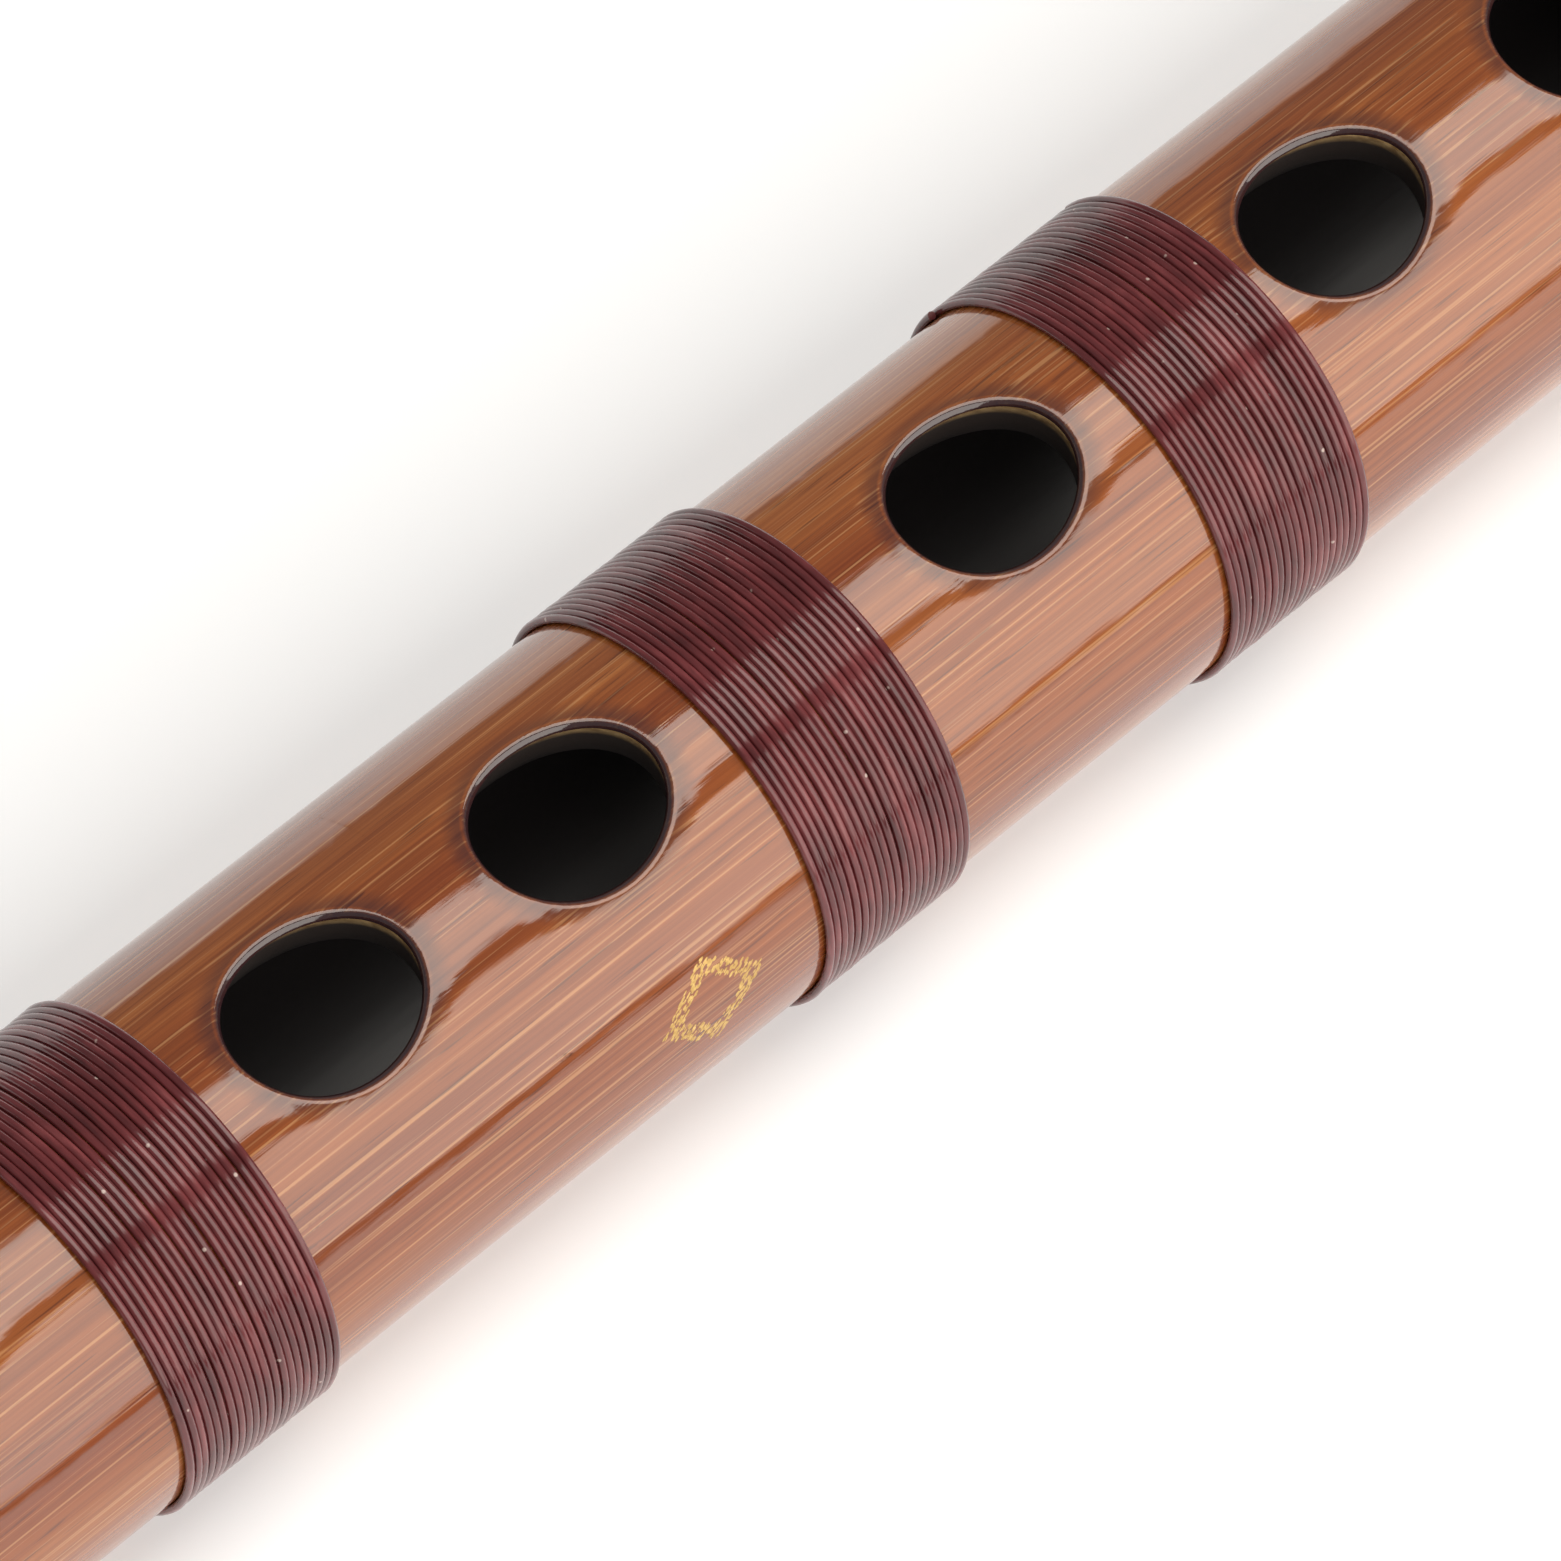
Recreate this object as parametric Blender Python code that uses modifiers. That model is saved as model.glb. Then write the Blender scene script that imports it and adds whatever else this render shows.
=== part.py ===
"""A two-section bamboo dizi in G, modelled piece by piece.

The flute lies along X with its head towards +X and its finger holes towards +Z. A station is a distance
along the tube from the face of the joint between the sections, positive towards the head. Every size is
in metres.
"""

import math

import bmesh
import bpy
import numpy as np
from mathutils import Matrix, Vector

# Bamboo tube
TUBE_RADIUS = 0.0105
BORE_RADIUS = 0.007

# Distances along the tube, from one centre to the next, head to foot
HEAD_END_TO_BLOW = 0.088
BLOW_TO_MEMBRANE = 0.068
HOLE_6_TO_5 = 0.0172
HOLE_5_TO_4 = 0.0233
HOLE_4_TO_3 = 0.0264
HOLE_3_TO_2 = 0.0151
HOLE_2_TO_1 = 0.027
HOLE_1_TO_TONE = 0.027
TONE_TO_TASSEL = 0.030
TASSEL_TO_FOOT_END = 0.066

# Holes: length along the tube and width across it, at the outer surface
FINGER_HOLE_LENGTH = 0.010
FINGER_HOLE_WIDTH = 0.0086
BLOW_HOLE_LENGTH = 0.0102
BLOW_HOLE_WIDTH = 0.009
MEMBRANE_HOLE_LENGTH = 0.008
MEMBRANE_HOLE_WIDTH = 0.007
TONE_HOLE_DIAMETER = 0.0084
TONE_HOLE_ANGLE = math.radians(28)
TASSEL_HOLE_DIAMETER = 0.0064
HOLE_UNDERCUT = 0.0005

# Thread bindings
BINDING_WIDTH = 0.0097
BINDING_PROUD = 0.00045
THREAD_DIAMETER = 0.0005
LEAST_THREAD_GAP = 0.00055
BINDING_BEFORE_HOLE = 0.0026
BINDING_BEHIND_HOLE = 0.00235
BINDING_TO_HOLE_6 = 0.0041
BINDING_TO_BLOW_HOLE = 0.004
BINDING_TO_FILM = 0.0021
BINDING_TO_OTHER_HOLES = 0.004
BINDING_TO_FERRULE = 0.0012
BINDING_TO_END_RING = 0.008

# Membrane over its hole
FILM_LENGTH = 0.018
FILM_WIDTH = 0.013
FILM_THICKNESS = 0.0002

# Brass joint: a ferrule round each tube end, and a tenon that slides in a socket
FERRULE_LENGTH = 0.010
FERRULE_PROUD = 0.0003
FERRULE_WALL = 0.0006
FERRULE_LIP = 0.0008
TENON_LENGTH = 0.020
TENON_SEAT = 0.018
TENON_WALL = 0.0006
SOCKET_WALL = 0.0006
SOCKET_END_ROOM = 0.001
JOINT_GAP = 0.0003
SLIDING_CLEARANCE = 0.0001

# End rings and stopper
END_RING_LENGTH = 0.008
END_RING_PROUD = 0.0004
END_RING_WALL = 0.0009
END_RING_LIP = 0.0015
END_RING_ROUNDING = 0.0007
STOPPER_LENGTH = 0.014
STOPPER_FROM_BLOW = 0.008

# Gap between pieces that are glued, pressed or wound onto one another
SEAT_GAP = 0.0003

# Fineness of the faceted surfaces
FACETS = 24
HOLE_FACETS = 20
LOOP_POINTS = 24
ARC_STEPS = 3
CREASE_ANGLE = math.radians(40)
MERGE_DISTANCE = 0.00001
CUTTER_OVERRUN = 0.002

# Radii and stations that follow from the sizes above
BINDING_RADIUS = TUBE_RADIUS + BINDING_PROUD
BINDING_SEAT_RADIUS = BINDING_RADIUS - THREAD_DIAMETER - SEAT_GAP
FERRULE_RADIUS = TUBE_RADIUS + FERRULE_PROUD
END_RING_RADIUS = TUBE_RADIUS + END_RING_PROUD
TENON_RADIUS = BORE_RADIUS + TENON_WALL
SOCKET_BORE_RADIUS = TENON_RADIUS + SLIDING_CLEARANCE
SOCKET_RADIUS = SOCKET_BORE_RADIUS + SOCKET_WALL
SOCKET_LENGTH = TENON_LENGTH + SOCKET_END_ROOM
AXIS_HEIGHT = BINDING_RADIUS

FERRULE_TO_BINDING_END = FERRULE_LENGTH + BINDING_TO_FERRULE + BINDING_WIDTH
MEMBRANE_STATION = FERRULE_TO_BINDING_END + BINDING_TO_FILM + FILM_LENGTH / 2
BLOW_STATION = MEMBRANE_STATION + BLOW_TO_MEMBRANE
HEAD_END_STATION = BLOW_STATION + HEAD_END_TO_BLOW
HOLE_6_STATION = -(FERRULE_TO_BINDING_END + BINDING_TO_HOLE_6 + FINGER_HOLE_LENGTH / 2)
HOLE_5_STATION = HOLE_6_STATION - HOLE_6_TO_5
HOLE_4_STATION = HOLE_5_STATION - HOLE_5_TO_4
HOLE_3_STATION = HOLE_4_STATION - HOLE_4_TO_3
HOLE_2_STATION = HOLE_3_STATION - HOLE_3_TO_2
HOLE_1_STATION = HOLE_2_STATION - HOLE_2_TO_1
TONE_STATION = HOLE_1_STATION - HOLE_1_TO_TONE
TASSEL_STATION = TONE_STATION - TONE_TO_TASSEL
FOOT_END_STATION = TASSEL_STATION - TASSEL_TO_FOOT_END
JOINT_X = -(HEAD_END_STATION + FOOT_END_STATION) / 2

# Directions along the tube
HEADWARD = 1
FOOTWARD = -1

# Colour, roughness and metallic value of each material
MATERIALS = {
    "bamboo": ((0.33, 0.12, 0.04), 0.25, 0.0),
    "thread": ((0.12, 0.03, 0.035), 0.35, 0.0),
    "brass": ((0.78, 0.57, 0.25), 0.28, 1.0),
    "bone": ((0.85, 0.80, 0.68), 0.35, 0.0),
    "cork": ((0.52, 0.35, 0.20), 0.90, 0.0),
    "film": ((0.86, 0.82, 0.68), 0.45, 0.0),
}


def clear_scene():
    for old in list(bpy.data.objects):
        bpy.data.objects.remove(old, do_unlink=True)


def new_collection(name):
    collection = bpy.data.collections.new(name)
    bpy.context.scene.collection.children.link(collection)
    return collection


def section_empty(name, collection):
    """An empty on the axis at the joint, turned so that its Z runs to the head and its -X points up."""
    empty = bpy.data.objects.new(name, None)
    empty.location = (JOINT_X, 0.0, AXIS_HEIGHT)
    empty.rotation_euler = (0.0, math.radians(90), 0.0)
    collection.objects.link(empty)
    return empty


def give_material(piece, kind):
    color, roughness, metallic = MATERIALS[kind]
    material = bpy.data.materials.new(piece.name + "_" + kind)
    material.use_nodes = True
    shader = material.node_tree.nodes["Principled BSDF"]
    shader.inputs["Base Color"].default_value = (*color, 1.0)
    shader.inputs["Roughness"].default_value = roughness
    shader.inputs["Metallic"].default_value = metallic
    piece.data.materials.clear()
    piece.data.materials.append(material)


def turned(name, profile, section, collection, closed=True):
    """Turns (station, radius) points about the tube's axis, with a flat facet straight down.

    The profile runs down its outer side from the head end to the foot end. Its radii are the distances
    of the flat facets from the axis, so that pieces of the same facets keep an even gap.
    """
    half_facet = math.pi / FACETS
    points = []
    for station, radius in profile:
        corner = radius / math.cos(half_facet)
        points.append((corner * math.cos(half_facet), corner * math.sin(half_facet), station))
    count = len(points)
    edges = [(index, index + 1) for index in range(count - 1)]
    if closed:
        edges.append((count - 1, 0))
    mesh = bpy.data.meshes.new(name)
    mesh.from_pydata(points, edges, [])
    piece = bpy.data.objects.new(name, mesh)
    piece.parent = section
    collection.objects.link(piece)
    screw = piece.modifiers.new("turn", "SCREW")
    screw.axis = "Z"
    screw.angle = math.tau
    screw.steps = FACETS
    screw.render_steps = FACETS
    screw.use_merge_vertices = True
    screw.merge_threshold = MERGE_DISTANCE
    screw.use_smooth_shade = True
    return piece


def oval_cutter(name, station, angle, length, width, undercut, section, collection):
    """An oval plug from the axis out through the wall, wider by the undercut at the bore.

    The angle is counted round the tube from straight up, towards +Y.
    """
    depth = TUBE_RADIUS + CUTTER_OVERRUN
    wall = TUBE_RADIUS - BORE_RADIUS
    spread = undercut / wall
    inner_scale = 1 + 2 * spread * TUBE_RADIUS / length
    outer_scale = 1 - 2 * spread * CUTTER_OVERRUN / length
    bm = bmesh.new()
    bmesh.ops.create_cone(
        bm, cap_ends=True, segments=HOLE_FACETS, radius1=inner_scale, radius2=outer_scale, depth=depth
    )
    outward = Vector((-math.cos(angle), math.sin(angle), 0.0))
    along = Vector((0.0, 0.0, 1.0))
    across = outward.cross(along)
    turn = Matrix((along, across, outward)).transposed().to_4x4()
    stretch = Matrix.Diagonal((length / 2, width / 2, 1.0, 1.0))
    place = Matrix.Translation(along * station + outward * depth / 2)
    bmesh.ops.transform(bm, matrix=place @ turn @ stretch, verts=bm.verts)
    mesh = bpy.data.meshes.new(name)
    bm.to_mesh(mesh)
    bm.free()
    cutter = bpy.data.objects.new(name, mesh)
    cutter.parent = section
    cutter.hide_render = True
    cutter.display_type = "WIRE"
    collection.objects.link(cutter)
    return cutter


def combine(piece, cutter, operation):
    boolean = piece.modifiers.new(cutter.name, "BOOLEAN")
    boolean.operation = operation
    boolean.solver = "EXACT"
    boolean.object = cutter


def settle(piece):
    """Makes a piece's modifiers part of its mesh and shades it smooth up to its creases."""
    bpy.context.view_layer.update()
    graph = bpy.context.evaluated_depsgraph_get()
    mesh = bpy.data.meshes.new_from_object(piece.evaluated_get(graph))
    piece.modifiers.clear()
    old = piece.data
    piece.data = mesh
    bpy.data.meshes.remove(old)
    mesh.name = piece.name
    mesh.shade_smooth()
    mesh.set_sharp_from_angle(angle=CREASE_ANGLE)


def beside(station, direction, half_length, gap):
    """The middle of a binding that lies a gap away from something of a given half length."""
    return station + direction * (half_length + gap + BINDING_WIDTH / 2)


def binding_stations():
    """Each binding's middle: those of the head section, then those of the foot section, head to foot."""
    finger = FINGER_HOLE_LENGTH / 2
    tone = TONE_HOLE_DIAMETER / 2
    tassel = TASSEL_HOLE_DIAMETER / 2
    blow = BLOW_HOLE_LENGTH / 2
    head_end = beside(HEAD_END_STATION, FOOTWARD, END_RING_LENGTH, BINDING_TO_END_RING)
    blow_head_side = beside(BLOW_STATION, HEADWARD, blow, BINDING_TO_BLOW_HOLE)
    head = {
        "binding_head_end": head_end,
        "binding_head_middle": (head_end + blow_head_side) / 2,
        "binding_blow_hole_head_side": blow_head_side,
        "binding_blow_hole_foot_side": beside(BLOW_STATION, FOOTWARD, blow, BINDING_TO_BLOW_HOLE),
        "binding_membrane": beside(MEMBRANE_STATION, HEADWARD, FILM_LENGTH / 2, BINDING_TO_FILM),
        "binding_joint_head_side": beside(0.0, HEADWARD, FERRULE_LENGTH, BINDING_TO_FERRULE),
    }
    foot = {
        "binding_joint_foot_side": beside(0.0, FOOTWARD, FERRULE_LENGTH, BINDING_TO_FERRULE),
        "binding_hole_4": beside(HOLE_4_STATION, HEADWARD, finger, BINDING_BEFORE_HOLE),
        "binding_hole_3": beside(HOLE_3_STATION, HEADWARD, finger, BINDING_BEFORE_HOLE),
        "binding_hole_2": beside(HOLE_2_STATION, FOOTWARD, finger, BINDING_BEHIND_HOLE),
        "binding_hole_1": beside(HOLE_1_STATION, FOOTWARD, finger, BINDING_TO_OTHER_HOLES),
        "binding_tone_holes": beside(TONE_STATION, FOOTWARD, tone, BINDING_TO_OTHER_HOLES),
        "binding_tassel_holes": beside(TASSEL_STATION, FOOTWARD, tassel, BINDING_TO_OTHER_HOLES),
        "binding_foot_end": beside(FOOT_END_STATION, HEADWARD, END_RING_LENGTH, BINDING_TO_END_RING),
    }
    return head, foot


# The three bindings that the photograph shows have their turns; the others are plain sleeves
WOUND_BINDINGS = ("binding_hole_4", "binding_hole_3", "binding_hole_2")


def with_seats(stations):
    """The outer side of a tube between its ends: a shallow seat under each binding, head to foot."""
    reach = BINDING_WIDTH / 2 + SEAT_GAP
    points = []
    for middle in sorted(stations, reverse=True):
        points += [
            (middle + reach, TUBE_RADIUS),
            (middle + reach, BINDING_SEAT_RADIUS),
            (middle - reach, BINDING_SEAT_RADIUS),
            (middle - reach, TUBE_RADIUS),
        ]
    return points


def end_spigot(end, direction):
    """The step at a tube's end that carries its end ring, from the shoulder out to the end."""
    radius = END_RING_RADIUS - END_RING_WALL - SEAT_GAP
    shoulder = end - direction * (END_RING_LENGTH + SEAT_GAP)
    tip = end - direction * (END_RING_LIP + SEAT_GAP)
    return [(shoulder, TUBE_RADIUS), (shoulder, radius), (tip, radius)]


def joint_spigot(direction):
    """The step at a tube's joint end that carries its ferrule, from the shoulder out to the end."""
    radius = FERRULE_RADIUS - FERRULE_WALL - SEAT_GAP
    shoulder = direction * (FERRULE_LENGTH + SEAT_GAP)
    tip = direction * (JOINT_GAP / 2 + FERRULE_LIP + SEAT_GAP)
    return [(shoulder, TUBE_RADIUS), (shoulder, radius), (tip, radius)]


def make_head_tube(stations, section, parts, cutters):
    outer_end = end_spigot(HEAD_END_STATION, HEADWARD)
    joint_end = joint_spigot(HEADWARD)
    counterbore = SOCKET_RADIUS + SEAT_GAP
    counterbore_end = SOCKET_LENGTH + SEAT_GAP
    profile = (
        outer_end[::-1]
        + with_seats(stations)
        + joint_end
        + [
            (joint_end[-1][0], counterbore),
            (counterbore_end, counterbore),
            (counterbore_end, BORE_RADIUS),
            (outer_end[-1][0], BORE_RADIUS),
        ]
    )
    tube = turned("head_tube", profile, section, parts)
    blow = oval_cutter(
        "cut_blow_hole", BLOW_STATION, 0.0, BLOW_HOLE_LENGTH, BLOW_HOLE_WIDTH, HOLE_UNDERCUT,
        section, cutters,
    )
    membrane = oval_cutter(
        "cut_membrane_hole", MEMBRANE_STATION, 0.0, MEMBRANE_HOLE_LENGTH, MEMBRANE_HOLE_WIDTH, 0.0,
        section, cutters,
    )
    for cutter in (blow, membrane):
        combine(tube, cutter, "DIFFERENCE")
    return tube


def make_foot_tube(stations, section, parts, cutters):
    outer_end = end_spigot(FOOT_END_STATION, FOOTWARD)
    joint_end = joint_spigot(FOOTWARD)
    counterbore = TENON_RADIUS + SEAT_GAP
    counterbore_end = -(TENON_SEAT + SEAT_GAP)
    profile = (
        joint_end[::-1]
        + with_seats(stations)
        + outer_end
        + [
            (outer_end[-1][0], BORE_RADIUS),
            (counterbore_end, BORE_RADIUS),
            (counterbore_end, counterbore),
            (joint_end[-1][0], counterbore),
        ]
    )
    tube = turned("foot_tube", profile, section, parts)
    finger_stations = {
        1: HOLE_1_STATION,
        2: HOLE_2_STATION,
        3: HOLE_3_STATION,
        4: HOLE_4_STATION,
        5: HOLE_5_STATION,
        6: HOLE_6_STATION,
    }
    for number, station in finger_stations.items():
        cutter = oval_cutter(
            f"cut_finger_hole_{number}", station, 0.0, FINGER_HOLE_LENGTH, FINGER_HOLE_WIDTH,
            HOLE_UNDERCUT, section, cutters,
        )
        combine(tube, cutter, "DIFFERENCE")
    for side, sign in (("left", 1), ("right", -1)):
        tone = oval_cutter(
            f"cut_tone_hole_{side}", TONE_STATION, math.pi - sign * TONE_HOLE_ANGLE,
            TONE_HOLE_DIAMETER, TONE_HOLE_DIAMETER, 0.0, section, cutters,
        )
        combine(tube, tone, "DIFFERENCE")
        tassel = oval_cutter(
            f"cut_tassel_hole_{side}", TASSEL_STATION, sign * math.pi / 2,
            TASSEL_HOLE_DIAMETER, TASSEL_HOLE_DIAMETER, 0.0, section, cutters,
        )
        combine(tube, tassel, "DIFFERENCE")
    return tube


def make_end_ring(name, end, direction, section, parts):
    """A bone ring with a lip over the tube's end and a rounded outer edge."""
    inner = END_RING_RADIUS - END_RING_WALL
    start = end - direction * END_RING_LENGTH
    lip = end - direction * END_RING_LIP
    rounded = []
    for step in range(ARC_STEPS + 1):
        turn = step / ARC_STEPS * math.pi / 2
        station = end - direction * END_RING_ROUNDING * (1 - math.sin(turn))
        radius = END_RING_RADIUS - END_RING_ROUNDING * (1 - math.cos(turn))
        rounded.append((station, radius))
    outline = [(start, END_RING_RADIUS)] + rounded + [(end, BORE_RADIUS), (lip, BORE_RADIUS)]
    outline += [(lip, inner), (start, inner)]
    if direction == HEADWARD:
        outline.reverse()
    return turned(name, outline, section, parts)


def make_ferrule(name, direction, lip_radius, section, parts):
    """A brass ring round a tube's joint end, with a lip over the bamboo."""
    inner = FERRULE_RADIUS - FERRULE_WALL
    face = direction * JOINT_GAP / 2
    lip = face + direction * FERRULE_LIP
    far = direction * FERRULE_LENGTH
    outline = [
        (far, FERRULE_RADIUS),
        (face, FERRULE_RADIUS),
        (face, lip_radius),
        (lip, lip_radius),
        (lip, inner),
        (far, inner),
    ]
    if direction == FOOTWARD:
        outline.reverse()
    return turned(name, outline, section, parts)


def make_tenon(section, parts):
    profile = [
        (TENON_LENGTH, TENON_RADIUS),
        (-TENON_SEAT, TENON_RADIUS),
        (-TENON_SEAT, BORE_RADIUS),
        (TENON_LENGTH, BORE_RADIUS),
    ]
    return turned("tenon_sleeve", profile, section, parts)


def make_socket(section, parts):
    start = JOINT_GAP / 2
    profile = [
        (SOCKET_LENGTH, SOCKET_RADIUS),
        (start, SOCKET_RADIUS),
        (start, SOCKET_BORE_RADIUS),
        (SOCKET_LENGTH, SOCKET_BORE_RADIUS),
    ]
    return turned("socket_sleeve", profile, section, parts)


def make_stopper(section, parts):
    """The plug that closes the bore on the head side of the blow hole."""
    radius = BORE_RADIUS - SEAT_GAP
    face = BLOW_STATION + STOPPER_FROM_BLOW
    back = face + STOPPER_LENGTH
    profile = [(back, 0.0), (back, radius), (face, radius), (face, 0.0)]
    return turned("stopper", profile, section, parts, closed=False)


def make_membrane(section, parts, cutters):
    """An oval film that lies round the tube over the membrane hole."""
    inner = TUBE_RADIUS + SEAT_GAP
    outer = inner + FILM_THICKNESS
    head_edge = MEMBRANE_STATION + FILM_LENGTH
    foot_edge = MEMBRANE_STATION - FILM_LENGTH
    profile = [(head_edge, outer), (foot_edge, outer), (foot_edge, inner), (head_edge, inner)]
    film = turned("membrane", profile, section, parts)
    outline = oval_cutter(
        "cut_membrane_outline", MEMBRANE_STATION, 0.0, FILM_LENGTH, FILM_WIDTH, 0.0, section, cutters
    )
    combine(film, outline, "INTERSECT")
    return film


def make_sleeve(name, middle, section, parts):
    """A binding as a plain sleeve in its seat."""
    half = BINDING_WIDTH / 2
    inner = BINDING_RADIUS - THREAD_DIAMETER
    profile = [
        (middle + half, BINDING_RADIUS),
        (middle - half, BINDING_RADIUS),
        (middle - half, inner),
        (middle + half, inner),
    ]
    return turned(name, profile, section, parts)


def least_gap(points):
    """The least clear distance between turns: points more than half a turn apart, less a diameter."""
    count = len(points)
    index = np.arange(count)
    apart = np.abs(index[:, None] - index[None, :]) > LOOP_POINTS // 2
    distance = np.linalg.norm(points[:, None, :] - points[None, :, :], axis=2)
    return float(distance[apart].min()) - THREAD_DIAMETER


def make_winding(name, middle, section, parts):
    """A binding as one unbroken thread: a helix of as many open turns as the width takes.

    The thread's flat chords lie over the seat's facets, so the lowest of them rests level.
    """
    travel = BINDING_WIDTH - THREAD_DIAMETER
    loops = int(travel / (THREAD_DIAMETER + LEAST_THREAD_GAP))
    step = math.tau / LOOP_POINTS
    radius = (BINDING_RADIUS - THREAD_DIAMETER / 2) / math.cos(step / 2)
    index = np.arange(loops * LOOP_POINTS + 1)
    angle = (index + 0.5) * step
    along = middle - travel / 2 + travel * index / index[-1]
    points = np.stack([radius * np.cos(angle), radius * np.sin(angle), along], axis=1)
    print(f"{name}: {loops} turns, least gap to itself {least_gap(points) * 1000:.2f} mm")
    curve = bpy.data.curves.new(name, "CURVE")
    curve.dimensions = "3D"
    curve.bevel_depth = THREAD_DIAMETER / 2
    curve.bevel_resolution = 1
    curve.use_fill_caps = True
    spline = curve.splines.new("POLY")
    spline.points.add(len(points) - 1)
    spline.points.foreach_set("co", np.append(points, np.ones((len(points), 1)), axis=1).ravel())
    winding = bpy.data.objects.new(name, curve)
    winding.parent = section
    parts.objects.link(winding)
    return winding


def make_bindings(stations, section, parts):
    for name, middle in stations.items():
        if name in WOUND_BINDINGS:
            binding = make_winding(name, middle, section, parts)
        else:
            binding = make_sleeve(name, middle, section, parts)
            settle(binding)
        give_material(binding, "thread")


def finish(piece, kind):
    settle(piece)
    give_material(piece, kind)


def make_foot_section(stations, parts, cutters):
    section = section_empty("foot_section", parts)
    finish(make_foot_tube(stations.values(), section, parts, cutters), "bamboo")
    finish(make_end_ring("foot_end_ring", FOOT_END_STATION, FOOTWARD, section, parts), "bone")
    finish(make_ferrule("foot_ferrule", FOOTWARD, TENON_RADIUS + SEAT_GAP, section, parts), "brass")
    finish(make_tenon(section, parts), "brass")
    make_bindings(stations, section, parts)


def make_head_section(stations, parts, cutters):
    section = section_empty("head_section", parts)
    finish(make_head_tube(stations.values(), section, parts, cutters), "bamboo")
    finish(make_end_ring("head_end_ring", HEAD_END_STATION, HEADWARD, section, parts), "bone")
    finish(make_ferrule("head_ferrule", HEADWARD, SOCKET_RADIUS + SEAT_GAP, section, parts), "brass")
    finish(make_socket(section, parts), "brass")
    finish(make_stopper(section, parts), "cork")
    finish(make_membrane(section, parts, cutters), "film")
    make_bindings(stations, section, parts)


def main():
    clear_scene()
    parts = new_collection("dizi")
    cutters = new_collection("dizi_cutters")
    head_bindings, foot_bindings = binding_stations()
    make_foot_section(foot_bindings, parts, cutters)
    make_head_section(head_bindings, parts, cutters)


main()
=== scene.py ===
import math
import bmesh
import bpy
import numpy as np
from mathutils import Matrix, Vector


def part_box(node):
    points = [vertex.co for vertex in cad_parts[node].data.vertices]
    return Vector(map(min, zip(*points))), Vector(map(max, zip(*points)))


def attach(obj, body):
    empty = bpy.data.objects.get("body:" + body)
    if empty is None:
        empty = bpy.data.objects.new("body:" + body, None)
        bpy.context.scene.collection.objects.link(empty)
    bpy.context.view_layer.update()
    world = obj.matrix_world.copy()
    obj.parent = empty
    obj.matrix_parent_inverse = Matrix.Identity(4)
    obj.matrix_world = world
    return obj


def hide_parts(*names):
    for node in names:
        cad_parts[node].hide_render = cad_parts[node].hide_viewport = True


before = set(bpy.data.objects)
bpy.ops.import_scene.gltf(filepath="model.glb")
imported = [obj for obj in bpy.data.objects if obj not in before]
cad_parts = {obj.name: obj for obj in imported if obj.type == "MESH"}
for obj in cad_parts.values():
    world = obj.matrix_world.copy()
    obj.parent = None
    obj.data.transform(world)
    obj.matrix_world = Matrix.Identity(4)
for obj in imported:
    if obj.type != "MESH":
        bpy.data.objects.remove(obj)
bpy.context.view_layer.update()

# Places read from the frame: the tube's axis and the face of the joint between the sections
jointGap = 0.0003  # between the two ferrules
ringLow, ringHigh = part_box("binding_foot_end")
axisZ = (ringLow[2] + ringHigh[2]) / 2
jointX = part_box("socket_sleeve")[0][0] - jointGap / 2
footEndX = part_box("foot_end_ring")[0][0]
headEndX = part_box("head_end_ring")[1][0]


def place(station, radius, angle):
    # Points from a station along the tube, a radius and an angle from straight up towards +Y: x is the
    # station, y and z are the radius times the angle's sine and cosine
    x = jointX + station
    y = radius * np.sin(angle)
    z = axisZ + radius * np.cos(angle)
    return np.stack(np.broadcast_arrays(x, y, z), axis=-1)


def gridQuads(rows, columns, start=0):
    # Quads of a grid of rows by columns, closed round its columns
    i, j = np.meshgrid(np.arange(rows - 1), np.arange(columns), indexing="ij")
    k = (j + 1) % columns
    row = i * columns
    nextRow = row + columns
    return np.stack([row + j, row + k, nextRow + k, nextRow + j], -1) + start


creaseAngle = 50.0  # degrees, past which an edge is shaded sharp


def makePiece(name, points, quads, body, node, material, depths=None, weld=0.0, fans=()):
    # One mesh object from arrays, with its normals outwards, its body declared by the empty it hangs from,
    # its material in a slot, and the model's part for its node hidden
    mesh = bpy.data.meshes.new(name)
    faces = [tuple(quad) for quad in np.concatenate([block.reshape(-1, 4) for block in quads]).tolist()]
    faces += [tuple(fan) for fan in fans]
    mesh.from_pydata(points.tolist(), [], faces)
    if depths is not None:
        layer = mesh.attributes.new("depth", "FLOAT", "POINT")
        layer.data.foreach_set("value", depths.astype(np.float32))
    bm = bmesh.new()
    bm.from_mesh(mesh)
    if weld:
        bmesh.ops.remove_doubles(bm, verts=bm.verts, dist=weld)
    bmesh.ops.recalc_face_normals(bm, faces=bm.faces)
    bm.to_mesh(mesh)
    bm.free()
    mesh.shade_smooth()
    mesh.set_sharp_from_angle(angle=math.radians(creaseAngle))
    mesh.materials.append(material)
    piece = bpy.data.objects.new(name, mesh)
    bpy.context.scene.collection.objects.link(piece)
    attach(piece, body)
    if node:
        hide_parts(node)
    return piece


# Shader nodes and the group that the materials share
def addNode(tree, kind, **settings):
    node = tree.nodes.new(kind)
    for key, value in settings.items():
        setattr(node, key, value)
    return node


def feed(tree, socket, value):
    # Links a node's output to a socket, or sets the socket to a number or a colour
    if hasattr(value, "links"):
        tree.links.new(value, socket)
    elif isinstance(value, tuple):
        socket.default_value = (*value, 1.0)
    else:
        socket.default_value = value


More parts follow.
